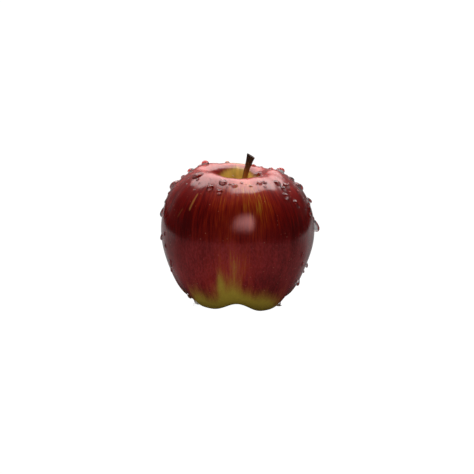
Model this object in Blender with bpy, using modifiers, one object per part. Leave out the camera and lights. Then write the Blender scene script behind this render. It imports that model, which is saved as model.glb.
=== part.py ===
"""A fresh apple standing on its base lobes, with its stalk and the dried flower remains in its eye.

Metres, +Z up. The origin is on the table, under the middle of the fruit. The front is -Y.
"""

from math import cos, pi, radians, sin

import bmesh
import bpy
import numpy as np
from mathutils import Matrix, Vector

# ---------------------------------------------------------------- driving dimensions
FRUIT_WIDTH = 0.078  # across the shoulders
FRUIT_HEIGHT = 0.068  # table to shoulder, without the stalk
GAP = 0.0003  # left between pieces that touch in the real fruit
PRESSED_FLAT = 0.0004  # how far each foot of the fruit is flattened by its weight

# The outline from the stalk's pit, over the shoulder and down the flank, to the eye underneath.
# Each point is (share of half the width, share of the height), and pulls a cubic B-spline.
OUTLINE = [
    (0.000, 0.765),
    (0.055, 0.770),
    (0.145, 0.813),
    (0.250, 0.898),
    (0.360, 0.973),
    (0.500, 0.992),
    (0.680, 0.927),
    (0.897, 0.815),
    (1.010, 0.625),
    (0.998, 0.420),
    (0.905, 0.240),
    (0.790, 0.088),
    (0.662, -0.012),
    (0.495, -0.028),
    (0.340, 0.015),
    (0.205, 0.095),
    (0.090, 0.140),
    (0.000, 0.146),
]
SPANS = len(OUTLINE) - 1
RIM_AT = 5 / SPANS  # where along the outline the top of the shoulder is
FLANK_AT = 9.4 / SPANS
FOOT_AT = 13 / SPANS  # where the lobes meet the table
PIT_FLOOR = 0.0525  # height of the bottom of the stalk's pit
EYE_ROOF = 0.0098  # height of the bottom of the hollow under the fruit

LOBES = 5
FIRST_LOBE = radians(-54)  # the front then looks into the valley between two lobes
VALLEY_RISE = 0.0036  # how far the skin between two feet stands above the table
VALLEY_SHARPNESS = 1.3
FLANK_SWELL = 0.011  # how far the lobes show on the flank, as a share of the radius
RIM_RIPPLE = 0.0005  # the lobes' small crowns round the stalk's pit
SHORT_LOBE = radians(-126)  # the front left lobe is a little shorter than the others
SHORT_LOBE_RISE = 0.0011
RIM_SADDLE = 0.0003  # the shoulders stand higher at the sides than at the front and back
RIM_TILT = 0.036  # the left shoulder stands higher than the right
HIGH_CROWN = radians(118)  # one crown behind the pit, to the left, stands highest
HIGH_CROWN_RISE = 0.0014

STALK_LENGTH = 0.0268  # with the root that sits in the flesh
STALK_ROOT = 0.0035  # length of that root
STALK_OFFSET = 0.0010  # the stalk grows a little off the fruit's axis, towards +X
STALK_LEAN = radians(12)  # at the root, towards +X
STALK_BEND = radians(6)  # further lean gained by the tip
STALK_RADII = [0.00095, 0.00095, 0.00100, 0.00110, 0.00122, 0.00130, 0.00134, 0.00150, 0.00205]
STALK_CUT = radians(20)  # slant of the scar where it came off the spur
STALK_CUT_BACK = 0.0007  # how far the scar's middle is from the end of the path
STALK_SECTIONS = 24

TUBE_MOUTH = 0.0024  # radii and depth of the eye's tube, which opens into the hollow
TUBE_END = 0.0009
TUBE_DEPTH = 0.0042
TUBE_OVERSHOOT = 0.0017  # how far its cutter runs on past the skin

SEPAL_RING = 0.0030  # radius of the circle that the sepals grow from
SEPAL_HALF_WIDTH = 0.0015
SEPAL_LENGTH = 0.0060
SEPAL_THICKNESS = 0.00045
SEPAL_BULGE = 0.0011  # towards the middle of the eye, halfway down
SEPAL_CURL = 0.0022  # away from it at the tip
SEPAL_CURL_SPREAD = 0.25  # how much the curl differs between the sepals
SEPAL_CUP = 0.0006  # how far the edges stand behind the middle

STAMENS = 10
STAMEN_RADIUS = 0.00022
STAMEN_LENGTH = 0.0042
STAMEN_EXTRA = 0.0005  # every second one is this much longer
STAMEN_SPLAY = radians(7)
STAMEN_SPLAY_STEP = radians(5)
PLUG_HEIGHT = 0.0012  # the small plug in the tube that the stamens stand on
PLUG_PLACE = 0.62  # share of the way up the tube

SEGMENTS_ROUND = 72
ROWS_DOWN = 46


def clear_scene():
    for obj in list(bpy.data.objects):
        bpy.data.objects.remove(obj)


def new_collection(name):
    collection = bpy.data.collections.new(name)
    bpy.context.scene.collection.children.link(collection)
    return collection


def make_material(name, colour, roughness):
    material = bpy.data.materials.new(name)
    material.use_nodes = True
    shader = material.node_tree.nodes["Principled BSDF"]
    shader.inputs["Base Color"].default_value = (*colour, 1.0)
    shader.inputs["Roughness"].default_value = roughness
    return material


def make_object(name, mesh, collection, material=None, parent=None):
    obj = bpy.data.objects.new(name, mesh)
    collection.objects.link(obj)
    if material:
        mesh.materials.append(material)
    obj.parent = parent
    return obj


def mesh_from(bm, name):
    mesh = bpy.data.meshes.new(name)
    bmesh.ops.recalc_face_normals(bm, faces=bm.faces)
    bm.to_mesh(mesh)
    bm.free()
    mesh.shade_smooth()
    return mesh


# ---------------------------------------------------------------- the skin's shape
def outline(along):
    """(radius, height) on the outline at each value of along, 0 at the stalk and 1 at the eye."""
    pulls = np.array(OUTLINE) * (FRUIT_WIDTH / 2, FRUIT_HEIGHT)
    across_axis = pulls * (-1, 1)  # the curve crosses the axis level, so both ends are smooth
    pulls = np.vstack([across_axis[1], pulls, across_axis[-2]])
    place = np.clip(np.asarray(along, float), 0, 1) * SPANS
    span = np.minimum(place.astype(int), SPANS - 1)
    f = (place - span)[:, None]
    return (
        pulls[span] * (1 - f) ** 3
        + pulls[span + 1] * (3 * f**3 - 6 * f**2 + 4)
        + pulls[span + 2] * (-3 * f**3 + 3 * f**2 + 3 * f + 1)
        + pulls[span + 3] * f**3
    ).T / 6


def swell(along, middle, before, after):
    """1 at middle, falling smoothly to 0 over the two distances along the outline."""
    away = along - middle
    share = np.clip(np.abs(away) / np.where(away < 0, before, after), 0, 1)
    return (1 - share**2) ** 2


def skin_points(turn, along):
    """Points on the skin, round the axis by turn and down the outline by along, with the feet uncut."""
    radius, height = outline(along)
    lobe = np.cos(LOBES * (turn - FIRST_LOBE))
    crown = np.cos(LOBES * (turn - FIRST_LOBE) + 1.0)
    valley = ((1 - lobe) / 2) ** VALLEY_SHARPNESS
    short = np.clip(np.cos(turn - SHORT_LOBE), 0, 1) ** 6
    high = np.clip(np.cos(turn - HIGH_CROWN), 0, 1) ** 7
    at_rim = swell(along, RIM_AT, 0.24, 0.26)
    at_flank = swell(along, FLANK_AT, 0.35, 0.45)
    at_foot = swell(along, FOOT_AT, 0.34, 0.19)
    radius = radius * (1 + FLANK_SWELL * lobe * at_flank)
    height = height + at_foot * (VALLEY_RISE * valley + SHORT_LOBE_RISE * short)
    height = height + at_rim * (RIM_SADDLE * np.cos(2 * turn) + RIM_RIPPLE * crown + HIGH_CROWN_RISE * high)
    height = height - at_rim * RIM_TILT * radius * np.cos(turn)
    return np.column_stack([radius * np.cos(turn), radius * np.sin(turn), height])


def fruit_mesh():
    """A UV sphere's rows and columns, laid out as the outline and its lobes."""
    bm = bmesh.new()
    bmesh.ops.create_uvsphere(bm, u_segments=SEGMENTS_ROUND, v_segments=ROWS_DOWN, radius=1)
    ball = np.array([v.co for v in bm.verts])
    along = np.arccos(np.clip(ball[:, 2], -1, 1)) / pi
    turn = np.arctan2(ball[:, 1], ball[:, 0])
    for vert, point in zip(bm.verts, skin_points(turn, along)):
        vert.co = point
    return mesh_from(bm, "fruit")


# ---------------------------------------------------------------- cutters and joins
def combine(obj, tool, operation):
    """Adds tool to obj, or cuts it out, and keeps tool itself out of the solid."""
    modifier = obj.modifiers.new(tool.name, "BOOLEAN")
    modifier.operation = operation
    modifier.solver = "EXACT"
    modifier.object = tool
    tool.hide_render = True
    tool.display_type = "WIRE"


def cone(name, collection, parent, place, axis, near_radius, far_radius, length):
    """A round bar from place along axis, with a radius at each end."""
    bm = bmesh.new()
    turned = Vector((0, 0, 1)).rotation_difference(axis).to_matrix().to_4x4()
    middle = Vector(place) + axis * length / 2
    bmesh.ops.create_cone(
        bm,
        cap_ends=True,
        segments=16,
        radius1=near_radius,
        radius2=far_radius,
        depth=length,
        matrix=Matrix.Translation(middle) @ turned,
    )
    return make_object(name, mesh_from(bm, name), collection, parent=parent)


def table_cutter(collection):
    """Everything under the table top, which flattens the feet."""
    depth = 0.01
    bm = bmesh.new()
    size = Matrix.Diagonal((FRUIT_WIDTH * 2, FRUIT_WIDTH * 2, depth, 1))
    bmesh.ops.create_cube(bm, size=1, matrix=Matrix.Translation((0, 0, -depth / 2)) @ size)
    return make_object("table_cutter", mesh_from(bm, "table_cutter"), collection)


# ---------------------------------------------------------------- stalk
def stalk_path():
    """(points, directions) from the root's end to the tip, on one gentle bend in the XZ plane."""
    point = Vector((STALK_OFFSET, 0, PIT_FLOOR - STALK_ROOT))
    points, directions = [], []
    for step in range(STALK_SECTIONS + 1):
        lean = STALK_LEAN + STALK_BEND * (step / STALK_SECTIONS) ** 2
        direction = Vector((sin(lean), 0, cos(lean)))
        points.append(point.copy())
        directions.append(direction)
        point += direction * STALK_LENGTH / STALK_SECTIONS
    return points, directions


def stalk_mesh():
    """A bevelled curve, thicker towards the tip, cut off at a slant through its knob."""
    points, directions = stalk_path()
    curve = bpy.data.curves.new("stalk_path", "CURVE")
    curve.dimensions = "3D"
    curve.bevel_depth = 1.0
    curve.bevel_resolution = 4
    curve.use_fill_caps = True
    spline = curve.splines.new("POLY")
    spline.points.add(len(points) - 1)
    shares = np.linspace(0, 1, len(points))
    radii = np.interp(shares, np.linspace(0, 1, len(STALK_RADII)), STALK_RADII)
    for spline_point, point, radius in zip(spline.points, points, radii):
        spline_point.co = (*point, 1)
        spline_point.radius = radius
    swept = bpy.data.objects.new("stalk_path", curve)
    bpy.context.scene.collection.objects.link(swept)
    bpy.context.view_layer.update()
    mesh = bpy.data.meshes.new_from_object(swept.evaluated_get(bpy.context.evaluated_depsgraph_get()))
    bpy.data.objects.remove(swept)

    bm = bmesh.new()
    bm.from_mesh(mesh)
    bpy.data.meshes.remove(mesh)
    bmesh.ops.remove_doubles(bm, verts=bm.verts, dist=0.00001)
    bmesh.ops.bisect_plane(
        bm,
        geom=[*bm.verts, *bm.edges, *bm.faces],
        plane_co=points[-1] - directions[-1] * STALK_CUT_BACK,
        plane_no=Matrix.Rotation(STALK_CUT, 3, "Y") @ directions[-1],
        clear_outer=True,
    )
    bmesh.ops.holes_fill(bm, edges=bm.edges)
    return mesh_from(bm, "stem")


# ---------------------------------------------------------------- the eye
def sepal_mesh(number):
    """One dried sepal: a pointed leaf that comes down beside the eye and curls out at its tip."""
    bm = bmesh.new()
    bmesh.ops.create_grid(bm, x_segments=4, y_segments=8, size=0.5)
    curl = SEPAL_CURL * (1 - SEPAL_CURL_SPREAD * sin(2.3 * number) ** 2)
    top = EYE_ROOF - GAP - SEPAL_THICKNESS
    for vert in bm.verts:
        across, down = vert.co.x, vert.co.y + 0.5
        half = 2 * SEPAL_HALF_WIDTH * (1 - 0.88 * down**1.2)
        inward = SEPAL_BULGE * sin(pi * down) - curl * down**3
        cup = SEPAL_CUP * (2 * across) ** 2 * (1 - down)
        drop = SEPAL_LENGTH * (down - 0.18 * down**3)
        vert.co = (SEPAL_RING - inward - cup, across * half, top - drop)
    return mesh_from(bm, f"sepal_{number}")


def stamen_tuft(collection, helpers, material, parent):
    """The withered stamens, as thin spikes on a small plug that sits in the eye's tube."""
    plug_radius = TUBE_END - GAP
    plug_top = Vector((0, 0, EYE_ROOF + TUBE_DEPTH * PLUG_PLACE))
    down = Vector((0, 0, -1))
    tuft = cone("stamens", collection, parent, plug_top, down, plug_radius, plug_radius + GAP, PLUG_HEIGHT)
    tuft.data.materials.append(material)
    for number in range(STAMENS):
        turn = 2 * pi * number / STAMENS
        splay = STAMEN_SPLAY + STAMEN_SPLAY_STEP * (number % 3)
        out = Vector((cos(turn), sin(turn), 0))
        spike = cone(
            f"stamen_{number}",
            helpers,
            parent,
            plug_top + out * plug_radius * 0.6 + down * PLUG_HEIGHT * 0.6,
            out * sin(splay) + down * cos(splay),
            STAMEN_RADIUS,
            STAMEN_RADIUS * 0.7,
            STAMEN_LENGTH + STAMEN_EXTRA * (number % 2),
        )
        combine(tuft, spike, "UNION")


def main():
    clear_scene()
    apple = new_collection("apple")
    helpers = new_collection("helpers")
    skin = make_material("apple_skin", (0.22, 0.012, 0.010), 0.22)
    wood = make_material("stalk_wood", (0.075, 0.035, 0.012), 0.65)
    husk = make_material("dried_husk", (0.095, 0.055, 0.028), 0.85)

    mesh = fruit_mesh()
    low = Vector(np.min([v.co for v in mesh.vertices], axis=0))
    high = Vector(np.max([v.co for v in mesh.vertices], axis=0))
    axis = bpy.data.objects.new("apple_axis", None)
    axis.location = (-(low.x + high.x) / 2, -(low.y + high.y) / 2, -low.z - PRESSED_FLAT)
    apple.objects.link(axis)

    fruit = make_object("fruit", mesh, apple, skin, axis)
    points, directions = stalk_path()
    root, upwards = points[0] - directions[0] * GAP, directions[0]
    socket_radius = STALK_RADII[0] + GAP
    socket = cone("stem_socket", helpers, axis, root, upwards, socket_radius, socket_radius, STALK_ROOT * 2)
    tube_end = Vector((0, 0, EYE_ROOF + TUBE_DEPTH))
    tube_length = TUBE_DEPTH + TUBE_OVERSHOOT
    tube = cone("eye_tube", helpers, axis, tube_end, Vector((0, 0, -1)), TUBE_END, TUBE_MOUTH, tube_length)
    for cutter in (socket, tube, table_cutter(helpers)):
        combine(fruit, cutter, "DIFFERENCE")

    make_object("stem", stalk_mesh(), apple, wood, axis)
    for number in range(1, LOBES + 1):
        sepal = make_object(f"sepal_{number}", sepal_mesh(number), apple, husk, axis)
        sepal.rotation_euler.z = FIRST_LOBE + 2 * pi * number / LOBES
        thickness = sepal.modifiers.new("thickness", "SOLIDIFY")
        thickness.thickness = SEPAL_THICKNESS
        thickness.offset = 0
    stamen_tuft(apple, helpers, husk, axis)


main()
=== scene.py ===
from math import cos, pi, radians, sin

import bmesh
import bpy
import numpy as np
from mathutils import Matrix, Vector


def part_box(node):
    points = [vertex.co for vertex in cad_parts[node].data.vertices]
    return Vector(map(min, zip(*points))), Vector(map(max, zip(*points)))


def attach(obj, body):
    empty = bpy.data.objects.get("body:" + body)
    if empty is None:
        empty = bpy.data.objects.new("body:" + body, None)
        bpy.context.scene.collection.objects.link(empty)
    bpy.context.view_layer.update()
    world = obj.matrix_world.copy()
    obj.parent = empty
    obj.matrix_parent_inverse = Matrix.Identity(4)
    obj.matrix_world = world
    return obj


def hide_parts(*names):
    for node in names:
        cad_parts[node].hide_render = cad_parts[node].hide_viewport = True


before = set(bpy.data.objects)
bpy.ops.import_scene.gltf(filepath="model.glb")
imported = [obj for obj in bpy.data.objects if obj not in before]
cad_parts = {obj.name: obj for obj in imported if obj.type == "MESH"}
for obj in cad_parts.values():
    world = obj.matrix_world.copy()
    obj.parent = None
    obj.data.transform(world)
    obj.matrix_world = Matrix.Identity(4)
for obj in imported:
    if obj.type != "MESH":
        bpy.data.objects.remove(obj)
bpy.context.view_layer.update()        # the solid apple, in metres, front towards -Y
dice = np.random.default_rng(11)
print("frame loaded:", ", ".join(sorted(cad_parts)))


def toLinear(hexColour):  # "#7a1b10" as an sRGB colour, turned linear
    channels = [int(hexColour[i:i + 2], 16) / 255 for i in (1, 3, 5)]
    return (*[c / 12.92 if c <= 0.04045 else ((c + 0.055) / 1.055) ** 2.4 for c in channels], 1.0)


# inputs go by name or number: a Mix takes its share at 0, numbers at 2 and 3, and colours at 6 and 7
def addNode(tree, kind, settings=None, inputs=None):  # an input may be a value, a socket or a whole node
    node = tree.nodes.new("ShaderNode" + kind)
    for name, value in (settings or {}).items():
        setattr(node, name, value)
    for name, value in (inputs or {}).items():
        if isinstance(value, bpy.types.Node):
            value = next(output for output in value.outputs if output.enabled)
        if isinstance(value, bpy.types.NodeSocket):
            tree.links.new(value, node.inputs[name])
        else:
            node.inputs[name].default_value = value
    return node


def newMaterial(name):
    material = bpy.data.materials.new(name)
    material.use_nodes = True
    material.node_tree.nodes.clear()
    return material, material.node_tree


def setStops(ramp, stops):  # stops are (place, hex colour)
    elements = ramp.color_ramp.elements
    while len(elements) < len(stops):
        elements.new(1.0)
    for element, (place, colour) in zip(elements, stops):
        element.position = place
        element.color = toLinear(colour)


def addPiece(name, mesh, material, slot, *nodes):  # a finished mesh becomes a piece of the apple
    mesh.materials.clear()
    mesh.materials.append(material)
    mesh.shade_smooth()
    piece = bpy.data.objects.new(name, mesh)
    bpy.context.scene.collection.objects.link(piece)
    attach(piece, "root")
    if nodes:
        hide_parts(*nodes)
    return piece


def meshOf(name, points, faces):
    mesh = bpy.data.meshes.new(name)
    mesh.from_pydata(np.asarray(points).tolist(), [], faces)
    mesh.update()
    return mesh


def facing(azimuth):  # degrees from the front, positive to the right, as an angle round +Z
    return np.radians(np.asarray(azimuth, float) - 90)


skinShape = {            # the solid's shape with a finer rim and feet, in metres and radians
    "halfWidth": 0.039,
    "height": 0.068,
    "outline": [         # shares of half the width and of the height, from the stem's pit to the eye
        (0.000, 0.765), (0.055, 0.770), (0.145, 0.813), (0.250, 0.898), (0.360, 0.973), (0.500, 0.992),
        (0.680, 0.927), (0.897, 0.815), (1.010, 0.625), (0.998, 0.420), (0.905, 0.240), (0.790, 0.088),
        (0.662, -0.012), (0.495, -0.028), (0.340, 0.015), (0.205, 0.095), (0.090, 0.140), (0.000, 0.146),
    ],
    "lobes": 5,
    "firstLobe": radians(-54),
    "rim": (5 / 17, 0.24, 0.26),      # place along the outline, 0 at the stem and 1 at the eye,
    "flank": (9.4 / 17, 0.35, 0.45),  # and how far it fades towards each
    "foot": (13 / 17, 0.34, 0.19),
    "valleyRise": 0.0042,
    "valleySharpness": 1.3,
    "flankSwell": 0.011,
    "rimRipple": 0.0005,
    "rimRippleShift": 1.0,
    "rimSaddle": 0.0003,
    "rimTilt": 0.036,
    "shortLobe": radians(-126),
    "shortLobeRise": 0.0011,
    "shortLobeSharpness": 6,
    "highCrown": radians(118),
    "highCrownRise": 0.0014,
    "highCrownSharpness": 7,
    "tubeFrom": 0.8,     # the eye opens into a narrow tube
    "tubeMouth": 0.0024,
    "tubeDepth": 0.0042,
    "dip": (0.29, 0.10, 0.10),        # the rim dips between two lobes
    "dipDepth": 0.0009,
    "dipAzimuth": 18,    # degrees
    "dipHalfWidth": 26,
    "waveHeight": 0.00009,            # how uneven the skin is, which makes its reflections wander
    "waves": [           # (share of that height, waves round, radians down, shift)
        (1.0, 7, 28, 0.0), (0.8, 11, -23, 1.0), (0.6, 4, 47, 2.0), (0.4, 19, 31, 0.5),
    ],
    "waveFade": 0.004,   # they fade nearer the axis than this
    "columns": 384,
    "rows": 256,
    "aroundMm": 39.0,    # streaks are measured in mm round the widest place and down the outline
    "downMm": 115.0,
}


def skinOutline(along):
    pulls = np.array(skinShape["outline"]) * (skinShape["halfWidth"], skinShape["height"])
    mirrored = pulls * (-1, 1)
    spans = len(pulls) - 1
    pulls = np.vstack([mirrored[1], pulls, mirrored[-2]])
    place = np.clip(along, 0, 1) * spans
    span = np.minimum(place.astype(int), spans - 1)
    f = (place - span)[:, None]
    return (
        pulls[span] * (1 - f) ** 3
        + pulls[span + 1] * (3 * f**3 - 6 * f**2 + 4)
        + pulls[span + 2] * (-3 * f**3 + 3 * f**2 + 3 * f + 1)
        + pulls[span + 3] * f**3
    ).T / 6


def swell(along, middle, before, after):  # 1 at the middle, falling smoothly to 0 on either side
    away = along - middle
    share = np.clip(np.abs(away) / np.where(away < 0, before, after), 0, 1)
    return (1 - share**2) ** 2


def skinForm(turn, along):  # the solid's shape, before it is placed
    s = skinShape
    radius, height = skinOutline(along)
    lobe = np.cos(s["lobes"] * (turn - s["firstLobe"]))
    crown = np.cos(s["lobes"] * (turn - s["firstLobe"]) + s["rimRippleShift"])
    valley = ((1 - lobe) / 2) ** s["valleySharpness"]
    short = np.clip(np.cos(turn - s["shortLobe"]), 0, 1) ** s["shortLobeSharpness"]
    high = np.clip(np.cos(turn - s["highCrown"]), 0, 1) ** s["highCrownSharpness"]
    atRim, atFlank, atFoot = (swell(along, *s[part]) for part in ("rim", "flank", "foot"))
    radius = radius * (1 + s["flankSwell"] * lobe * atFlank)
    height = height + atFoot * (s["valleyRise"] * valley + s["shortLobeRise"] * short)
    height = height + atRim * (
        s["rimSaddle"] * np.cos(2 * turn) + s["rimRipple"] * crown + s["highCrownRise"] * high
    )
    height = height - atRim * s["rimTilt"] * radius * np.cos(turn)
    return np.column_stack([radius * np.cos(turn), radius * np.sin(turn), height])


def placeInFrame():  # moves the form onto the CAD fruit's box
    steps = 181
    turns, places = np.meshgrid(np.linspace(-pi, pi, steps), np.linspace(0, 1, steps))
    form = skinForm(turns.ravel(), places.ravel())
    low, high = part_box("fruit")
    middle = (np.array(low) + np.array(high)) / 2
    shift = middle - (form.min(axis=0) + form.max(axis=0)) / 2
    shift[2] = high.z - form[:, 2].max()
    return shift


skinShift = placeInFrame()


def angleFrom(azimuth, turn):  # how far round a turn is from an azimuth, between -pi and pi
    return (turn - facing(azimuth) + pi) % (2 * pi) - pi


def skinAt(turn, along):
    s = skinShape
    points = skinForm(turn, along)
    ring = np.hypot(points[:, 0], points[:, 1])
    inTube = np.clip(1 - (ring / s["tubeMouth"]) ** 2, 0, 1) ** 2 * (along > s["tubeFrom"])
    points[:, 2] += s["tubeDepth"] * inTube
    away = angleFrom(s["dipAzimuth"], turn) / radians(s["dipHalfWidth"])
    points[:, 2] -= s["dipDepth"] * np.exp(-(away**2)) * swell(along, *s["dip"])
    uneven = sum(share * np.sin(n * turn + down * along + shift) for share, n, down, shift in s["waves"])
    uneven = s["waveHeight"] * uneven
    points[:, :2] *= (1 + uneven / np.maximum(ring, s["waveFade"]))[:, None]
    points[:, 2] += uneven * (along < 0.5)  # only the upper half goes up and down
    points += skinShift
    points[:, 2] = np.maximum(points[:, 2], 0)  # the feet are pressed flat on the table
    return points


def skinNormal(turn, along):
    step = 0.002
    across = skinForm(turn + step, along) - skinForm(turn - step, along)
    down = skinForm(turn, np.minimum(along + step, 1)) - skinForm(turn, np.maximum(along - step, 0))
    normal = np.cross(down, across)
    return normal / np.linalg.norm(normal, axis=1, keepdims=True)


# each patch is (degrees from the front, place along, half width in degrees, half height, strength)
skinZones = {
    "ground": [  # bare yellow-green ground colour
        (-5, 0.700, 14, 0.105, 0.95),
        (-14, 0.600, 3.5, 0.050, 0.50),
        (26, 0.715, 16, 0.078, 1.05),
        (-38, 0.700, 11, 0.085, 0.85),
        (-8, 0.730, 50, 0.068, 1.00),
        (110, 0.70, 34, 0.045, 0.8),
        (180, 0.70, 44, 0.050, 0.9),
        (-110, 0.70, 30, 0.045, 0.8),
        (168, 0.40, 9, 0.09, 0.35),
        (178, 0.295, 24, 0.035, 0.55),
    ],
    "warm": [    # thin blush that lets orange through
        (18, 0.385, 13, 0.058, 1.0),
        (3, 0.335, 12, 0.025, 0.75),
        (-15, 0.380, 15, 0.040, 0.30),
        (-4, 0.540, 17, 0.045, 0.85),
        (7, 0.300, 11, 0.030, 1.0),
        (2, 0.430, 24, 0.080, 0.40),
        (-8, 0.610, 22, 0.060, 0.60),
        (142, 0.40, 20, 0.09, 0.8),
        (-150, 0.43, 15, 0.10, 0.6),
        (-95, 0.40, 7, 0.06, 0.35),
    ],
    "deep": [    # the darkest blush
        (-52, 0.46, 24, 0.09, 1.0),
        (50, 0.47, 20, 0.09, 1.0),
        (24, 0.60, 15, 0.06, 1.0),
        (-28, 0.63, 7, 0.05, 0.7),
        (45, 0.60, 14, 0.06, 0.5),
        (95, 0.50, 30, 0.12, 0.6),
        (-120, 0.50, 30, 0.12, 0.7),
    ],
}
skinEdges = {            # where the colour changes all the way round, as places along the outline
    "pitEdge": 0.262,
    "pitFade": 0.045,
    "pitSides": 0.05,    # the blush reaches further into the pit at the sides
    "pitLeft": 0.25,     # and furthest at the left
    "eyeEdge": 0.70,
    "eyeFade": 0.09,
    "shoulder": (0.27, 0.07, 0.09),
}


def zoneAt(turn, along, patches):
    total = np.zeros(len(turn))
    for azimuth, place, wide, tall, strength in patches:
        away = angleFrom(azimuth, turn) / radians(wide)
        total += strength * np.exp(-(away**2) - ((along - place) / tall) ** 2)
    return np.clip(total, 0, 1)


def grainAt(turn, along):  # where the streaks are measured, in mm
    around, down = skinShape["aroundMm"], skinShape["downMm"]
    return np.column_stack([around * np.cos(turn), around * np.sin(turn), down * along])


def setAttribute(mesh, name, kind, values):
    attribute = mesh.attributes.new(name, kind, "POINT")
    attribute.data.foreach_set("vector" if kind == "FLOAT_VECTOR" else "value", np.ravel(values))


def appleSkinMesh():  # a ball's grid moved onto the skin, with what its colours need at each point
    bm = bmesh.new()
    bmesh.ops.create_uvsphere(
        bm, u_segments=skinShape["columns"], v_segments=skinShape["rows"], radius=1
    )
    mesh = bpy.data.meshes.new("appleSkin")
    bm.to_mesh(mesh)
    bm.free()
    ball = np.empty(len(mesh.vertices) * 3)
    mesh.vertices.foreach_get("co", ball)
    ball = ball.reshape(-1, 3)
    along = np.arccos(np.clip(ball[:, 2], -1, 1)) / pi
    turn = np.arctan2(ball[:, 1], ball[:, 0])
    mesh.vertices.foreach_set("co", skinAt(turn, along).ravel())
    setAttribute(mesh, "grain", "FLOAT_VECTOR", grainAt(turn, along))
    for zone, patches in skinZones.items():
        setAttribute(mesh, zone, "FLOAT", zoneAt(turn, along, patches))
    e = skinEdges
    sideways = np.abs(np.cos(turn)) - e["pitLeft"] * np.minimum(np.cos(turn), 0)
    inPit = (e["pitEdge"] - e["pitSides"] * sideways - along) / e["pitFade"]
    setAttribute(mesh, "pit", "FLOAT", np.clip(inPit, 0, 1))
    setAttribute(mesh, "eye", "FLOAT", np.clip((along - e["eyeEdge"]) / e["eyeFade"], 0, 1))
    setAttribute(mesh, "shoulder", "FLOAT", swell(along, *e["shoulder"]))
    mesh.update()
    return mesh


skinFinish = {
    "blush": [             # deep blush at 0, thin blush at 1
        (0.00, "#560606"), (0.25, "#7a0d0a"), (0.50, "#961f0b"), (0.75, "#a8390b"), (1.00, "#b66c1b"),
    ],
    "shoulder": "#bb2c1c",  # paler red round the top
    "paintedTableReflection": "#a83034",    # painted reflection of the white table on the lower half, a dusty red
    "ground": "#c8a83c",
    "groundShade": "#a68f2c",
    "pitWall": "#dcae4c",
    "pitShade": "#a88c3a",
    "pitFloor": "#85682c",  # russet round the stem
    "scar": "#b4743a",
    "scars": [             # healed rubs: (azimuth, place along) of both ends, half width in mm, strength
        (((-38.4, 0.388), (-39.9, 0.424)), 0.85, 0.70),
        (((-47.5, 0.430), (-50.5, 0.448)), 0.35, 0.25),
    ],
    "scarCore": 0.3,       # the share of its half width where a scar is full
    "lenticel": "#cf9070",
    "lenticelSpacing": 2.2,        # mm
    "lenticelSizes": (0.1, 1.3),   # the smallest, and how much more the largest is
    "lenticelEdge": (0.12, 0.04),  # shares of the spacing between which one fades in
    "lenticelStrength": 0.5,
    "noises": {            # width round the apple and length from stem to eye, in mm
        "band": (3.0, 24.0),
        "streak": (1.1, 9.0),
        "hair": (0.5, 4.5),    # this and the mottle are finer on an apple, and drawn coarse enough to show
        "mottle": (0.7, 0.8),
        "patch": (6.0, 8.0),
    },
    "layers": {            # a start, how much of what is added, and where that is 0 and 1 if it fades
        "calm": (0.0, {"down": 1.0}, (50.0, 62.0)),  # the streaks grow faint these mm down
        "streaks": (-0.6, {"streak": 0.42, "band": 0.26, "hair": 0.52}, None),
        "boldness": (1.6, {"warm": 1.5, "calm": -1.1, "shoulder": -0.9}, None),
        "thinness": (0.06, {"warm": 0.46, "deep": -0.16, "patch": 0.34}, None),  # of the blush
        "paler": (0.0, {"shoulder": 0.4}, None),
        "flecks": (0.0, {"mottle": 1.0}, (0.40, 0.66)),
        "patches": (0.0, {"patch": 1.0}, (0.30, 0.70)),
        # how much painted table reflection there is, in dusty flecks
        "reflectionAndDust": (0.06, {"flecks": 0.50, "patches": 0.25}, None),
        "under": (0.0, {"down": 1.0, "band": 3.0}, (56.3, 58.8)),  # where the painted table reflection begins, in mm down
        "cover": (1.0, {"deep": -0.55}, None),
        "bare": (0.0, {"ground": 1.0, "eye": 1.0, "streaks": 0.42, "patch": 0.5}, (0.34, 1.18)),
        "inPit": (0.0, {"pit": 1.0, "streaks": 0.8}, (0.10, 0.95)),
        "pitTone": (-0.55, {"hair": 1.2, "patch": 1.0}, None),
        "floor": (0.0, {"down": 1.0}, (11.0, 3.0)),  # the pit's floor, in mm down
        "russet": (0.0, {"floor": 0.75}, None),
        "relief": (0.0, {"hair": 0.4, "mottle": 0.6}, None),
    },
    "reliefStrength": 0.4,
    "reliefDepth": 0.0001,
    "roughness": 0.5,
    "filmRoughness": 0.13,
}


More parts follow.
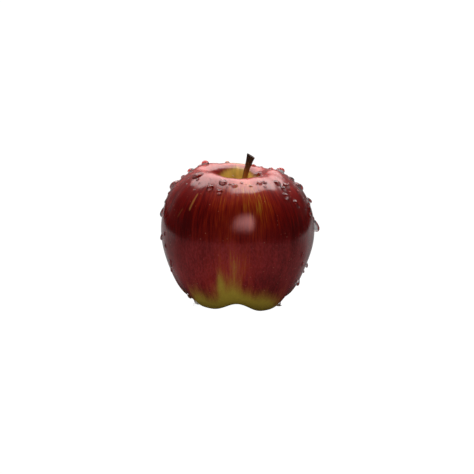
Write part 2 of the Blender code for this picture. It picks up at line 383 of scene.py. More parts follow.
# waxed apple skin under a film of water: deep soft colour below a clear, slightly blurred gloss
def appleSkinMaterial():
    f = skinFinish
    material, tree = newMaterial("waxedAppleSkin")
    smooth, colours = {"interpolation_type": "SMOOTHSTEP"}, {"data_type": "RGBA"}
    times, timesPlus, plus = ({"operation": name} for name in ("MULTIPLY", "MULTIPLY_ADD", "ADD"))
    grain = addNode(tree, "Attribute", {"attribute_name": "grain"}).outputs["Vector"]
    layer = {"down": addNode(tree, "SeparateXYZ", {}, {0: grain}).outputs[2]}
    for name in ("ground", "warm", "deep", "pit", "eye", "shoulder"):
        layer[name] = addNode(tree, "Attribute", {"attribute_name": name}).outputs["Fac"]
    for name, (wide, long) in f["noises"].items():
        spread = addNode(tree, "Mapping", {}, {"Vector": grain, "Scale": (1 / wide, 1 / wide, 1 / long)})
        layer[name] = addNode(
            tree, "TexNoise", {}, {"Vector": spread, "Scale": 1.0, "Detail": 2.0, "Roughness": 0.55}
        )
    for name, (total, shares, ends) in f["layers"].items():
        for source, share in shares.items():
            total = addNode(tree, "Math", timesPlus, {0: layer[source], 1: share, 2: total})
        if ends:
            total = addNode(
                tree, "MapRange", smooth, {"Value": total, "From Min": ends[0], "From Max": ends[1]}
            )
        layer[name] = total

    # streaks run from the stem to the eye, and are boldest where the blush is thin
    thin = addNode(
        tree, "Math", timesPlus, {0: layer["streaks"], 1: layer["boldness"], 2: layer["thinness"]}
    )
    colour = addNode(tree, "ValToRGB", {}, {"Fac": thin})
    setStops(colour, f["blush"])

    # a painted reflection of the white table, flecked like dust, dulls the lower half below a wandering
    # line, but less so the deepest blush
    paintedTableReflection = addNode(tree, "Math", times, {0: layer["reflectionAndDust"], 1: layer["under"]})
    paintedTableReflection = addNode(tree, "Math", times, {0: paintedTableReflection, 1: layer["cover"]})

    # the ground colour shows round the eye, ragged along the streaks, and the pit is yellow with russet
    ground = addNode(
        tree, "Mix", colours, {0: layer["mottle"], 6: toLinear(f["groundShade"]), 7: toLinear(f["ground"])}
    )
    pit = addNode(
        tree, "Mix", colours, {0: layer["pitTone"], 6: toLinear(f["pitShade"]), 7: toLinear(f["pitWall"])}
    )
    pit = addNode(tree, "Mix", colours, {0: layer["russet"], 6: pit, 7: toLinear(f["pitFloor"])})
    for share, over in (
        (layer["paler"], toLinear(f["shoulder"])),
        (paintedTableReflection, toLinear(f["paintedTableReflection"])),
        (layer["bare"], ground),
        (layer["inPit"], pit),
    ):
        colour = addNode(tree, "Mix", colours, {0: share, 6: colour, 7: over})

    for ends, halfWidth, strength in f["scars"]:
        azimuths, places = np.array(ends).T
        start, end = (Vector(point) for point in grainAt(facing(azimuths), places))
        reach = end - start
        away = addNode(tree, "VectorMath", {"operation": "SUBTRACT"}, {0: grain, 1: start})
        share = addNode(tree, "VectorMath", {"operation": "DOT_PRODUCT"}, {0: away, 1: reach})
        share = addNode(
            tree, "Math", {**times, "use_clamp": True},
            {0: share.outputs["Value"], 1: 1 / reach.length_squared},
        )
        nearest = addNode(tree, "VectorMath", {"operation": "SCALE"}, {0: tuple(reach), "Scale": share})
        gap = addNode(tree, "VectorMath", {"operation": "DISTANCE"}, {0: away, 1: nearest}).outputs["Value"]
        core = halfWidth * f["scarCore"]
        rub = addNode(
            tree, "MapRange", smooth,
            {"Value": gap, "From Min": halfWidth, "From Max": core, "To Max": strength},
        )
        colour = addNode(tree, "Mix", colours, {0: rub, 6: colour, 7: toLinear(f["scar"])})

    # lenticels: pale breathing pores, from specks to about half a millimetre
    place = addNode(tree, "TexCoord").outputs["Object"]
    pores = addNode(
        tree, "TexVoronoi", {}, {"Vector": place, "Scale": 1000 / f["lenticelSpacing"], "Randomness": 1.0}
    )
    chance = addNode(tree, "SeparateColor", {}, {0: pores.outputs["Color"]}).outputs[0]
    smallest, more = f["lenticelSizes"]
    size = addNode(tree, "Math", timesPlus, {0: chance, 1: more, 2: smallest})
    away = addNode(tree, "Math", {"operation": "DIVIDE"}, {0: pores, 1: size})
    edge, core = f["lenticelEdge"]
    dot = addNode(
        tree, "MapRange", smooth,
        {"Value": away, "From Min": edge, "From Max": core, "To Max": f["lenticelStrength"]},
    )
    colour = addNode(tree, "Mix", colours, {0: dot, 6: colour, 7: toLinear(f["lenticel"])})

    relief = addNode(tree, "Math", plus, {0: layer["relief"], 1: dot})
    bump = addNode(
        tree, "Bump", {}, {"Height": relief, "Strength": f["reliefStrength"], "Distance": f["reliefDepth"]}
    )
    shader = addNode(tree, "BsdfPrincipled", {}, {
        "Base Color": colour,
        "Roughness": f["roughness"],
        "IOR": 1.4,
        "Specular IOR Level": 0.05,
        "Coat Weight": 1.0,
        "Coat Roughness": f["filmRoughness"],
        "Coat IOR": 1.45,
        "Normal": bump,
        "Coat Normal": bump,
    })
    addNode(tree, "OutputMaterial", {}, {"Surface": shader})
    return material


addPiece("appleSkin", appleSkinMesh(), appleSkinMaterial(), "apple_skin", "fruit")
print("skin done")


stalk = {                # close to the solid's line and thicknesses, in metres and radians
    "length": 0.0268,
    "root": 0.0035,      # how far down it goes below the pit's floor
    "offset": 0.0002,
    "pitFloor": 0.0525,
    "lean": radians(13),
    "bend": radians(6),
    "radii": [0.00095, 0.00095, 0.00100, 0.00110, 0.00122, 0.00130, 0.00136, 0.00170, 0.00225],
    "radiusBlend": 9,    # rings over which they blend
    "cut": radians(13),
    "cutBack": 0.0007,
    "rings": 120,
    "sides": 48,
    "ridges": [          # (share of the radius, ridges round, twist, shift)
        (0.045, 5, 3, 0), (0.03, 9, -5, 1),
    ],
    "knob": 0.09,        # lumps of the knob, sharpest at the top
    "knobSharpness": 8,
    "knobTurn": 0.7,
    "bulge": 0.03,
    "bulges": 11,
    "scar": 0.10,        # an old bud's scar, at that share of the length
    "scarPlace": 0.55,
    "scarSpread": 0.02,
    "scarTurn": 2.2,
    "endRings": [        # (share of the radius, how far the cut end is sunk there)
        (0.88, 0.00002), (0.7, 0.00022), (0.45, 0.00028), (0.2, 0.00018),
    ],
    "endLumps": [        # (share of that, lumps round, twist)
        (0.25, 4, 9), (0.2, 7, 0),
    ],
    "tones": [(0.30, "#a07e2c"), (0.80, "#7d4a1e"), (1.0, "#2e1d14")],  # from foot to tip
    "grainRadius": 1.3,  # mm, as the sizes below
    "fibreWidth": 0.28,  # nearer 0.1 on a stalk, and drawn coarse enough to show
    "fibreLength": 4.0,
    "blotchSize": 1.6667,
    "blotchShare": 0.3,
    "fibreShades": (0.55, 1.45),
    "roughness": 0.7,
    "reliefStrength": 0.6,
    "reliefDepth": 0.00012,
}


def stalkLine(share):  # point and direction at that share of the length
    points, directions = [], []
    point = Vector((stalk["offset"], 0, stalk["pitFloor"] - stalk["root"])) + Vector(skinShift)
    steps = len(share) - 1
    for place in share:
        lean = stalk["lean"] + stalk["bend"] * place**2
        direction = Vector((sin(lean), 0, cos(lean)))
        points.append(point.copy())
        directions.append(direction)
        point += direction * stalk["length"] / steps
    return points, directions


def stemMesh():  # ridged bark, a knob at the top and a rough, slanting cut
    s = stalk
    share = np.linspace(0, 1, s["rings"])
    line, directions = stalkLine(share)
    radii = np.interp(share, np.linspace(0, 1, len(s["radii"])), s["radii"])
    blend = s["radiusBlend"]
    radii = np.convolve(np.pad(radii, blend // 2, mode="edge"), np.ones(blend) / blend, mode="valid")
    sides = s["sides"]
    angles = np.linspace(0, 2 * pi, sides, endpoint=False)
    cutNormal = Matrix.Rotation(s["cut"], 3, "Y") @ directions[-1]
    cutPoint = line[-1] - directions[-1] * s["cutBack"]
    across = Vector((0, 1, 0))
    barkOut, barkLength = s["grainRadius"], s["length"] * 1000
    points, grain, height = [], [], []
    for place, centre, direction, radius in zip(share, line, directions, radii):
        side = direction.cross(across)
        for angle in angles:
            bark = sum(
                high * sin(n * angle + twist * place + shift) for high, n, twist, shift in s["ridges"]
            )
            bark += s["knob"] * place ** s["knobSharpness"] * sin(3 * angle + s["knobTurn"])
            bark += s["bulge"] * sin(s["bulges"] * place * pi) * sin(2 * angle)
            nearScar = np.exp(-(((place - s["scarPlace"]) / s["scarSpread"]) ** 2))
            bark += s["scar"] * nearScar * max(0.0, cos(angle - s["scarTurn"])) ** 3
            point = centre + (side * cos(angle) + across * sin(angle)) * radius * (1 + bark)
            over = (point - cutPoint).dot(cutNormal)
            if over > 0:
                point -= direction * (over / direction.dot(cutNormal))
            points.append(point)
            grain.append((barkOut * cos(angle), barkOut * sin(angle), place * barkLength))
            height.append(place)
    faces = []
    for ring in range(len(share) - 1):
        for k in range(sides):
            a, b = ring * sides + k, ring * sides + (k + 1) % sides
            faces.append((a, b, b + sides, a + sides))
    previous = (len(share) - 1) * sides
    rimPoints = points[previous:]
    middle = sum(rimPoints, Vector()) / sides
    for inset, sink in s["endRings"]:
        start = len(points)
        for rimPoint, angle in zip(rimPoints, angles):
            rough = 1 + sum(high * sin(n * angle + twist * inset) for high, n, twist in s["endLumps"])
            points.append(middle.lerp(rimPoint, inset) - cutNormal * sink * rough)
            grain.append((barkOut * inset * cos(angle), barkOut * inset * sin(angle), barkLength))
            height.append(1.0)
        for k in range(sides):
            n = (k + 1) % sides
            faces.append((previous + k, previous + n, start + n, start + k))
        previous = start
    faces.append(tuple(previous + k for k in range(sides)))
    faces.append(tuple(reversed(range(sides))))
    mesh = meshOf("appleStem", points, faces)
    setAttribute(mesh, "grain", "FLOAT_VECTOR", grain)
    setAttribute(mesh, "height", "FLOAT", height)
    return mesh


def stemMaterial():  # woody stalk: dry fibrous bark, olive at the foot and nearly black at the knob
    s = stalk
    material, tree = newMaterial("woodyStalk")
    grain = addNode(tree, "Attribute", {"attribute_name": "grain"}).outputs["Vector"]
    height = addNode(tree, "Attribute", {"attribute_name": "height"}).outputs["Fac"]
    scale = (1 / s["fibreWidth"], 1 / s["fibreWidth"], 1 / s["fibreLength"])
    spread = addNode(tree, "Mapping", {}, {"Vector": grain, "Scale": scale})
    fibre = addNode(tree, "TexNoise", {}, {"Vector": spread, "Scale": 1.0, "Detail": 3.0})
    blotch = addNode(tree, "TexNoise", {}, {"Vector": grain, "Scale": 1 / s["blotchSize"], "Detail": 2.0})
    place = addNode(
        tree, "Math", {"operation": "MULTIPLY_ADD"}, {0: blotch, 1: s["blotchShare"], 2: height}
    )
    tone = addNode(tree, "ValToRGB", {}, {"Fac": place})
    setStops(tone, s["tones"])
    dark, light = s["fibreShades"]
    shade = addNode(
        tree, "MapRange", {},
        {"Value": fibre, "From Min": 0.3, "From Max": 0.7, "To Min": dark, "To Max": light},
    )
    multiply = {"data_type": "RGBA", "blend_type": "MULTIPLY"}
    colour = addNode(tree, "Mix", multiply, {0: 1.0, 6: tone, 7: shade})
    bump = addNode(
        tree, "Bump", {}, {"Height": fibre, "Strength": s["reliefStrength"], "Distance": s["reliefDepth"]}
    )
    shader = addNode(tree, "BsdfPrincipled", {}, {
        "Base Color": colour,
        "Roughness": s["roughness"],
        "IOR": 1.5,
        "Normal": bump,
    })
    addNode(tree, "OutputMaterial", {}, {"Surface": shader})
    return material


addPiece("appleStem", stemMesh(), stemMaterial(), "stem_wood", "stem")
print("stem done")


husk = {                 # the dried remains of the flower, left as the solid has them
    "pale": "#8a6a44",
    "dark": "#3b2615",
    "fibreSize": 0.35,   # mm
    "blotchSize": 1.1667,
    "roughness": 0.8,
    "reliefStrength": 0.5,
    "reliefDepth": 0.00008,
}


def huskMaterial():  # dried husk: papery grey-brown, blotched darker and paler
    material, tree = newMaterial("driedFlowerHusk")
    place = addNode(tree, "TexCoord").outputs["Object"]
    fibre, blotch = (
        addNode(tree, "TexNoise", {}, {"Vector": place, "Scale": 1000 / husk[size], "Detail": detail})
        for size, detail in (("fibreSize", 3.0), ("blotchSize", 2.0))
    )
    dark, pale = (toLinear(husk[tone]) for tone in ("dark", "pale"))
    tone = addNode(tree, "Mix", {"data_type": "RGBA"}, {0: blotch, 6: dark, 7: pale})
    strength, depth = husk["reliefStrength"], husk["reliefDepth"]
    bump = addNode(tree, "Bump", {}, {"Height": fibre, "Strength": strength, "Distance": depth})
    shader = addNode(tree, "BsdfPrincipled", {}, {
        "Base Color": tone,
        "Roughness": husk["roughness"],
        "IOR": 1.5,
        "Normal": bump,
    })
    addNode(tree, "OutputMaterial", {}, {"Surface": shader})
    return material


driedHusk = huskMaterial()
for name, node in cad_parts.items():
    if name.startswith("sepal") or name == "stamens":
        node.data.materials.clear()
        node.data.materials.append(driedHusk)
print("husks done")


waterDrops = {           # each drop is (azimuth, place along, radius in mm, contact angle in degrees)
    "dropsOnShoulder": [
        (-60, 0.318, 3.07, 42), (-52, 0.338, 0.94, 56), (-45, 0.351, 0.51, 67), (-29, 0.355, 1.7, 72),
        (-18, 0.321, 2.12, 50), (-9.5, 0.326, 0.72, 67), (-3.5, 0.330, 1.59, 50), (5, 0.315, 0.89, 44),
        (15, 0.337, 0.83, 50), (-18, 0.362, 1.5, 76), (27, 0.327, 1.42, 56), (34, 0.326, 1.3, 56),
        (31, 0.347, 0.83, 67), (54, 0.334, 2.01, 53), (55, 0.360, 1.77, 61), (63, 0.355, 2.01, 61),
        (49, 0.385, 1.8, 76), (58, 0.413, 2.2, 52), (-63, 0.367, 0.72, 67), (-45, 0.375, 0.51, 67),
        (125, 0.210, 2.6, 44), (-168, 0.182, 0.86, 67), (75, 0.385, 0.72, 67), (-108, 0.300, 0.86, 67),
    ],
    "dropsOnFlank": [
        (-120, 0.285, 1.89, 89), (-103, 0.332, 1.65, 84), (-95, 0.356, 1.42, 67), (-93, 0.388, 2.9, 60),
        (-90, 0.412, 1, 56), (-88, 0.432, 1, 56), (-92, 0.460, 2.24, 53), (-80, 0.510, 1.42, 67),
        (-69, 0.496, 0.83, 72), (-70, 0.525, 1.18, 44), (-66, 0.568, 1.65, 61), (-72, 0.592, 1.42, 78),
        (100, 0.312, 2.01, 89), (95, 0.356, 1.77, 61), (90, 0.382, 2.8, 62), (88, 0.425, 1.53, 92),
        (74, 0.412, 0.72, 72), (84, 0.432, 1.16, 56), (70, 0.433, 0.72, 67), (78, 0.450, 1.16, 64),
        (86, 0.468, 0.86, 61), (89, 0.487, 2.6, 85), (57, 0.535, 1.12, 35), (62, 0.565, 1.12, 47),
        (85, 0.585, 1.12, 92), (85, 0.604, 0.72, 92), (80, 0.640, 1.65, 84), (-37.5, 0.487, 0.51, 67),
    ],
    "hangingDrops": [
        (-63, 0.688, 1.7, 75), (-50, 0.690, 1.1, 60), (50, 0.690, 0.9, 85),
    ],
    "footPools": [       # water by the feet: azimuth, distance from the axis, radius and height in mm
        (-62, 22.0, 3.4, 1.9), (-38, 14.0, 4.2, 0.5), (62, 23.5, 1.6, 1.0),
    ],
    "poolGrid": (48, 32),
    "sunk": 0.00005,     # how far a drop's underside lies below the skin
    "edgeSunk": 0.00003,
    "clearance": 0.00015,  # above the table
    "lumps": (0.02, 0.07),  # how uneven an outline is
    "stretch": 0.22,     # on steep skin a drop is longer, heavier below, and leans over
    "sag": 0.45,
    "lean": 0.30,
    "rings": (5, 3),     # at least, and more for each mm of its radius
    "sides": (14, 8),
    "contact": (50, 80),  # of the seeded drops, in degrees
    "scattered": 46,     # on the sides and the back
    "scatteredAzimuth": (62, 298),
    "scatteredFrom": 100,  # degrees from the front where they begin
    "scatteredShoulder": (0.34, 0.03),  # middle and spread
    "scatteredFlank": (0.36, 0.66),
    "scatteredRadius": (0.5, 1.0, 1.2),  # the usual sizes, and how much more the largest has
    "scatteredApart": (7, 0.03),
    "spray": 240,        # a mist of the smallest
    "sprayAlong": (0.335, 0.035),
    "sprayTop": 0.24,
    "sprayFront": (40, 0.345),  # it stops at that place along, within that azimuth of the front
    "sprayRadius": (0.10, 0.28),
    "rippleSize": 1.1111,  # mm
    "rippleStrength": 0.1,
    "rippleDepth": 0.00004,
    "clear": "#ffffff",  # water has no colour of its own
}


def dropMesh(spots, name):  # domes that follow the skin, each closed by an underside just below it
    w = waterDrops
    points, faces = [], []
    step = 0.001
    for azimuth, along, radius, contact in spots:
        turn, contact = float(facing(azimuth)), radians(contact)
        reach = radius / 1000
        ends = skinAt(turn + np.array([step, -step, 0, 0]), along + np.array([0, 0, step, -step]))
        perTurn = np.linalg.norm(ends[0] - ends[1]) / (2 * step)
        perAlong = np.linalg.norm(ends[2] - ends[3]) / (2 * step)
        slope = (ends[3] - ends[2])[2] / np.linalg.norm(ends[2] - ends[3])  # 1 where the skin is upright
        rings, sides = (least + int(more * radius) for least, more in (w["rings"], w["sides"]))
        around = np.linspace(0, 2 * pi, sides, endpoint=False)
        lumpy = 1 + sum(
            dice.uniform(*w["lumps"]) / k * np.sin(k * around + dice.uniform(0, 2 * pi)) for k in (2, 3, 4)
        )
        polar = np.repeat(np.linspace(0, contact, rings + 1)[1:], sides)  # from the top to the edge
        out = np.append(0, np.sin(polar) / sin(contact))
        lift = np.append(1, np.cos(polar)) - cos(contact)
        lift *= reach / sin(contact)
        around = np.append(0, np.tile(around, rings))
        lumpy = np.append(1, np.tile(lumpy, rings))
        u = reach * out * lumpy * np.cos(around)
        v = reach * out * lumpy * np.sin(around) * (1 + w["stretch"] * abs(slope))
        lift *= 1 + w["sag"] * slope * out * np.sin(around)
        lift[-sides:] = -w["edgeSunk"]
        domeV = v + w["lean"] * slope * lift
        start = len(points)
        for dropV, height in ((domeV, lift), (v, np.full(len(v), -w["sunk"]))):
            here = turn + u / perTurn, along + dropV / perAlong
            side = skinAt(*here) + skinNormal(*here) * height[:, None]
            side[:, 2] = np.maximum(side[:, 2], w["clearance"])
            points.extend(side)
        under = start + len(v)
        for k in range(sides):
            n = (k + 1) % sides
            faces.append((start, start + 1 + n, start + 1 + k))
            faces.append((under, under + 1 + k, under + 1 + n))
            for ring in range(rings - 1):
                a, b = 1 + ring * sides + k, 1 + ring * sides + n
                faces.append((start + a, start + b, start + b + sides, start + a + sides))
                faces.append((under + a, under + a + sides, under + b + sides, under + b))
            a, b = 1 + (rings - 1) * sides + k, 1 + (rings - 1) * sides + n
            faces.append((start + a, start + b, under + b, under + a))
    return meshOf(name, points, faces)


def poolMesh():  # low domes that stand on the table against the feet
    bm = bmesh.new()
    columns, rows = waterDrops["poolGrid"]
    for azimuth, distance, radius, height in waterDrops["footPools"]:
        turn = float(facing(azimuth))
        at = Matrix.Translation((distance / 1000 * cos(turn), distance / 1000 * sin(turn), 0))
        size = Matrix.Diagonal((radius / 1000, radius / 1000, height / 1000, 1))
        bmesh.ops.create_uvsphere(bm, u_segments=columns, v_segments=rows, radius=1, matrix=at @ size)
    level = Vector((0, 0, waterDrops["clearance"]))
    bmesh.ops.bisect_plane(
        bm, geom=[*bm.verts, *bm.edges, *bm.faces], plane_co=level, plane_no=(0, 0, 1), clear_inner=True
    )
    bmesh.ops.holes_fill(bm, edges=[edge for edge in bm.edges if edge.is_boundary], sides=0)
    bmesh.ops.recalc_face_normals(bm, faces=bm.faces)
    mesh = bpy.data.meshes.new("footPools")
    bm.to_mesh(mesh)
    bm.free()
    return mesh


def waterMaterial():  # clear water: sharp, bright reflections, dark where it bends the light away
    w = waterDrops
    material, tree = newMaterial("clearWater")
    place = addNode(tree, "TexCoord").outputs["Object"]
    ripple = addNode(
        tree, "TexNoise", {}, {"Vector": place, "Scale": 1000 / w["rippleSize"], "Detail": 1.0}
    )
    bump = addNode(
        tree, "Bump", {}, {"Height": ripple, "Strength": w["rippleStrength"], "Distance": w["rippleDepth"]}
    )
    shader = addNode(tree, "BsdfPrincipled", {}, {
        "Base Color": toLinear(w["clear"]),
        "Roughness": 0.0,
        "IOR": 1.333,
        "Transmission Weight": 1.0,
        "Normal": bump,
    })
    addNode(tree, "OutputMaterial", {}, {"Surface": shader})
    return material


def scatterDrops():  # seeded drops on the sides and the back, thickest on the shoulders
    w = waterDrops
    spots = []
    taken = [(a, p) for group in ("dropsOnShoulder", "dropsOnFlank") for a, p, _, _ in w[group]]
    smallest, usual, more = w["scatteredRadius"]
    apart, apartAlong = w["scatteredApart"]
    while len(spots) < w["scattered"]:
        azimuth = dice.uniform(*w["scatteredAzimuth"])
        along = dice.choice([dice.normal(*w["scatteredShoulder"]), dice.uniform(*w["scatteredFlank"])])
        azimuth = azimuth - 360 if azimuth > 180 else azimuth
        radius = dice.uniform(smallest, usual) + more * dice.random() ** 3
        near = any(
            abs((azimuth - a + 180) % 360 - 180) < apart and abs(along - p) < apartAlong for a, p in taken
        )
        if abs(azimuth) < w["scatteredFrom"] or near:
            continue
        taken.append((azimuth, along))
        spots.append((azimuth, along, radius, dice.uniform(*w["contact"])))
    return spots


def sprayDrops():  # the mist, round the shoulders
    w = waterDrops
    spots = []
    front, lowest = w["sprayFront"]
    while len(spots) < w["spray"]:
        azimuth, along = dice.uniform(-180, 180), dice.normal(*w["sprayAlong"])
        if along < w["sprayTop"] or (abs(azimuth) < front and along > lowest):
            continue
        spots.append((azimuth, along, dice.uniform(*w["sprayRadius"]), dice.uniform(*w["contact"])))
    return spots


water = waterMaterial()
for name in ("dropsOnShoulder", "dropsOnFlank", "hangingDrops"):
    addPiece(name, dropMesh(waterDrops[name], name), water, "water")
addPiece("scatteredDrops", dropMesh(scatterDrops(), "scatteredDrops"), water, "water")
addPiece("footPools", poolMesh(), water, "water")
addPiece("fineSpray", dropMesh(sprayDrops(), "fineSpray"), water, "water")
print("water done")


studio = {
    "eyeHeight": radians(13),
    "eyeDistance": 0.67,
    "lens": 99.9,
    "sensor": 36,
    "aim": Vector((-0.00025, 0.0, 0.0332)),
    "white": "#ffffff",
    "whiteness": 1.05,       # of the room and the table to the eye
    # to the eye under the apple, a faint painted shadow
    "whitenessInPaintedShadow": 1.0,
    "tableSize": 4,          # half its side
    "tableSunk": 0.00005,
    "tableShift": 0.012,     # how far left the middle of its bright strip is
    "tableFades": {          # (measured away from the axis, back or aside, none at, full at), in metres
        # the apple's painted shadow on the table's glow and gloss
        "lit": ("away", 0.015, 0.065),
        # where that faint painted shadow fades out
        "seen": ("away", 0.010, 0.026),
        "close": ("away", 0.055, 0.035),
        "inFront": ("back", -0.25, -0.23),   # its front edge and its sides, to the gloss
        "within": ("aside", 0.222, 0.198),
        "behind": ("back", 0.0, 0.16),
        # where the painted pink bounce glow fades in, for the gloss
        "nearer": ("back", 0.08, -0.02),
    },
    "tableGloss": 0.20,      # how bright it is to the gloss in front, and behind
    "tableGlossBehind": 0.42,
    "tableThrough": 0.75,    # times that through the drops
    # the pink of the painted bounce glow near the apple
    "paintedBounceTint": "#ffb4b4",
    "tableGlow": 0.68,       # and to the colour below the gloss
    "tableShade": 0.15,      # the share of it left in the painted shadow under the apple
    "boxPlace": Vector((-0.01, 0.89, 0.65)),
    "boxSize": (0.63, 0.89),
    "boxGloss": (6.2, 1.5),  # over the apple, and at the far end
    "boxEdge": 0.93,         # the share of its size where it begins to fade
    "boxTint": "#fff0ee",
    "boxPower": 36.0,
    "frontPlace": (radians(10), radians(21.5), 0.9),  # azimuth, elevation and distance
    "frontAim": Vector((0, 0, 0.045)),
    "frontSize": (0.25, 0.32),
    "frontGloss": 7.6,
    "frontTint": "#ffbab8",
    "discSides": 96,
    "discBack": (0.1, 1.4),       # how far back a disc has its first glow and its second
    "discAside": (-0.6, 0.6),     # and it is dimmer on the left than on the right
    "discSideGlow": (0.80, 1.15),
    "discThrough": 0.35,     # how much of it shows through the drops
    "roomGloss": 0.015,
    "wallGloss": 0.20,
    "wallThrough": 0.30,
    "wallFade": (0.62, 0.97),     # between these shares of straight back
    "wallThroughFade": (0.60, 0.97),
    "fillGlow": 0.05,        # of the whole room, to the colour
}


def addCamera():
    e = studio["eyeHeight"]
    back = Vector((0, -cos(e), sin(e)))
    data = bpy.data.cameras.new("camera")
    data.lens = studio["lens"]
    data.sensor_width = studio["sensor"]
    camera = bpy.data.objects.new("camera", data)
    camera.location = studio["aim"] + back * studio["eyeDistance"]
    camera.rotation_euler = (-back).to_track_quat("-Z", "Y").to_euler()
    bpy.context.scene.collection.objects.link(camera)
    bpy.context.scene.camera = camera


def addTable():  # a white table top, plain white to the eye but for a faint painted shadow under the apple, and dim beyond its edges to the gloss
    s = studio
    bm = bmesh.new()
    bmesh.ops.create_grid(bm, x_segments=1, y_segments=1, size=s["tableSize"])
    mesh = bpy.data.meshes.new("tableTop")
    bm.to_mesh(mesh)
    bm.free()
    table = bpy.data.objects.new("tableTop", mesh)
    table.location.z = -s["tableSunk"]
    bpy.context.scene.collection.objects.link(table)
    material, tree = newMaterial("whiteTableTop")
    material.cycles.emission_sampling = "NONE"
    number, smooth = {"data_type": "FLOAT"}, {"interpolation_type": "SMOOTHSTEP"}
    times, larger = {"operation": "MULTIPLY"}, {"operation": "MAXIMUM"}
    path = addNode(tree, "LightPath").outputs
    geometry = addNode(tree, "NewGeometry").outputs
    x, y, _ = addNode(tree, "SeparateXYZ", {}, {0: geometry["Position"]}).outputs
    flat = addNode(tree, "CombineXYZ", {}, {0: x, 1: y})
    away = addNode(tree, "VectorMath", {"operation": "LENGTH"}, {0: flat}).outputs["Value"]
    aside = addNode(tree, "Math", {"operation": "ADD"}, {0: x, 1: s["tableShift"]})
    aside = addNode(tree, "Math", {"operation": "ABSOLUTE"}, {0: aside})
    measured = {"away": away, "back": y, "aside": aside}
    fade = {
        name: addNode(tree, "MapRange", smooth, {"Value": measured[by], "From Min": none, "From Max": full})
        for name, (by, none, full) in s["tableFades"].items()
    }

    # to the gloss it is a bright strip that ends at the sides and in front
    gloss = addNode(tree, "Mix", number, {0: fade["behind"], 2: s["tableGloss"], 3: s["tableGlossBehind"]})
    for share in (fade["inFront"], fade["within"]):
        gloss = addNode(tree, "Math", times, {0: gloss, 1: share})
    # the glow that lights the skin is darkened under the apple, a painted shadow
    glow = addNode(tree, "Math", larger, {0: fade["lit"], 1: s["tableShade"]})
    glow = addNode(tree, "Math", times, {0: glow, 1: s["tableGlow"]})
    # to the eye the table is white, with a faint painted shadow under the apple
    seen = addNode(tree, "Mix", number, {0: fade["seen"], 2: s["whitenessInPaintedShadow"], 3: s["whiteness"]})

    # through a drop the eye meets what the gloss does, or white close by, and the skin its usual glow
    through = addNode(tree, "Math", times, {0: gloss, 1: s["tableThrough"]})
    through = addNode(tree, "Math", larger, {0: through, 1: fade["close"]})
    # the gloss is darkened by the same painted shadow
    gloss = addNode(tree, "Math", times, {0: gloss, 1: fade["lit"]})
    through = addNode(tree, "Mix", number, {0: path["Diffuse Depth"], 2: through, 3: glow})
    strength = glow
    for ray, value in (("Is Glossy Ray", gloss), ("Is Transmission Ray", through), ("Is Camera Ray", seen)):
        strength = addNode(tree, "Mix", number, {0: path[ray], 2: strength, 3: value})

    # painted red bounce light: close by, the table glows pink to the gloss, as if the apple's red fell on
    # it, but not through the drops
    paintedRedBounce = addNode(tree, "Math", times, {0: fade["nearer"], 1: path["Is Glossy Ray"]})
    less = {"operation": "SUBTRACT", "use_clamp": True}
    paintedRedBounce = addNode(tree, "Math", less, {0: paintedRedBounce, 1: path["Is Transmission Ray"]})
    tint = addNode(
        tree, "Mix", {"data_type": "RGBA"}, {0: paintedRedBounce, 6: toLinear(s["white"]), 7: toLinear(s["paintedBounceTint"])}
    )
    shine = addNode(tree, "Emission", {}, {"Color": tint, "Strength": strength})
    clear = addNode(tree, "BsdfTransparent")
    top = addNode(tree, "MixShader", {}, {0: geometry["Backfacing"], 1: shine, 2: clear})
    addNode(tree, "OutputMaterial", {}, {"Surface": top})
    mesh.materials.append(material)


# diffuser cloth with a lamp behind it, seen only in the gloss and through the drops, fading at its edge
def addGlowingDisc(name, place, direction, size, glow, tint, edge):
    s = studio
    mesh = bpy.data.meshes.new(name)
    bm = bmesh.new()
    bmesh.ops.create_circle(bm, cap_ends=True, segments=s["discSides"], radius=1)
    bm.to_mesh(mesh)
    bm.free()
    disc = bpy.data.objects.new(name, mesh)
    disc.location = place
    disc.rotation_euler = direction.to_track_quat("Z", "Y").to_euler()
    disc.scale = (*size, 1)
    bpy.context.scene.collection.objects.link(disc)
    disc.visible_camera = False
    disc.visible_shadow = False
    disc.visible_diffuse = False
    material, tree = newMaterial(name + "Cloth")
    smooth, times = {"interpolation_type": "SMOOTHSTEP"}, {"operation": "MULTIPLY"}
    here = addNode(tree, "TexCoord").outputs["Object"]
    away = addNode(tree, "VectorMath", {"operation": "LENGTH"}, {0: here}).outputs["Value"]
    x, y, _ = addNode(tree, "SeparateXYZ", {}, {0: addNode(tree, "NewGeometry")}).outputs
    inside = addNode(tree, "MapRange", smooth, {"Value": away, "From Min": 1.0, "From Max": edge})
    strength = inside
    for settings, value, (start, end), (first, second) in (
        (smooth, y, s["discBack"], glow), ({}, x, s["discAside"], s["discSideGlow"])
    ):
        share = addNode(
            tree, "MapRange", settings,
            {"Value": value, "From Min": start, "From Max": end, "To Min": first, "To Max": second},
        )
        strength = addNode(tree, "Math", times, {0: strength, 1: share})

    # dimmer to the eye through a drop, but as bright as ever to the skin below it
    path = addNode(tree, "LightPath").outputs
    number = {"data_type": "FLOAT"}
    through = addNode(tree, "Mix", number, {0: path["Diffuse Depth"], 2: s["discThrough"], 3: 1.0})
    share = addNode(tree, "Mix", number, {0: path["Is Transmission Ray"], 2: 1.0, 3: through})
    strength = addNode(tree, "Math", times, {0: strength, 1: share})
    shine = addNode(tree, "Emission", {}, {"Color": toLinear(tint), "Strength": strength})
    addNode(tree, "OutputMaterial", {}, {"Surface": shine})
    mesh.materials.append(material)


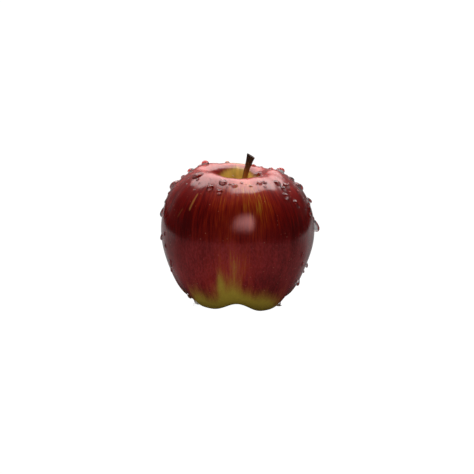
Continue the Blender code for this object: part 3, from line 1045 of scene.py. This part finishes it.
def addSoftbox():  # one big round softbox above and behind: a face for the gloss, a light for the colour
    s = studio
    down = Vector((0, 0, -1))
    addGlowingDisc(
        "softboxFace", s["boxPlace"], down, s["boxSize"], s["boxGloss"], s["boxTint"], s["boxEdge"]
    )
    data = bpy.data.lights.new("softbox", "AREA")
    data.shape = "ELLIPSE"
    data.size, data.size_y = (2 * side for side in s["boxSize"])
    data.energy = s["boxPower"]
    light = bpy.data.objects.new("softbox", data)
    light.location = s["boxPlace"]
    light.visible_glossy = False
    light.visible_transmission = False
    bpy.context.scene.collection.objects.link(light)


def addFrontGlow():  # a dim round diffuser over the lens
    s = studio
    azimuth, height, distance = s["frontPlace"]
    direction = Vector((sin(azimuth) * cos(height), -cos(azimuth) * cos(height), sin(height)))
    place = s["frontAim"] + direction * distance
    glow = s["frontGloss"], s["frontGloss"]
    addGlowingDisc("frontDiffuser", place, direction, s["frontSize"], glow, s["frontTint"], 0.0)


def addRoom():  # plain white to the eye, a dim wall behind and a dark room in front to the gloss
    s = studio
    world = bpy.data.worlds.new("room")
    bpy.context.scene.world = world
    world.use_nodes = True
    tree = world.node_tree
    tree.nodes.clear()
    smooth, number = {"interpolation_type": "SMOOTHSTEP"}, {"data_type": "FLOAT"}
    path = addNode(tree, "LightPath").outputs
    way = addNode(tree, "TexCoord").outputs["Generated"]
    _, back, _ = addNode(tree, "SeparateXYZ", {}, {0: way}).outputs
    seen = []
    for fade, bright in (("wallFade", "wallGloss"), ("wallThroughFade", "wallThrough")):
        share = addNode(
            tree, "MapRange", smooth, {"Value": back, "From Min": s[fade][0], "From Max": s[fade][1]}
        )
        seen.append(addNode(tree, "Mix", number, {0: share, 2: s["roomGloss"], 3: s[bright]}))
    wall, through = seen
    through = addNode(tree, "Mix", number, {0: path["Diffuse Depth"], 2: through, 3: s["fillGlow"]})
    rays = ("Is Glossy Ray", wall), ("Is Transmission Ray", through), ("Is Camera Ray", s["whiteness"])
    strength = s["fillGlow"]
    for ray, value in rays:
        strength = addNode(tree, "Mix", number, {0: path[ray], 2: strength, 3: value})
    glow = addNode(tree, "Background", {}, {"Color": toLinear(s["white"]), "Strength": strength})
    addNode(tree, "OutputWorld", {}, {"Surface": glow})


addCamera()
addTable()
addSoftbox()
addFrontGlow()
addRoom()
bpy.context.scene.view_settings.view_transform = "Standard"
print("studio done")
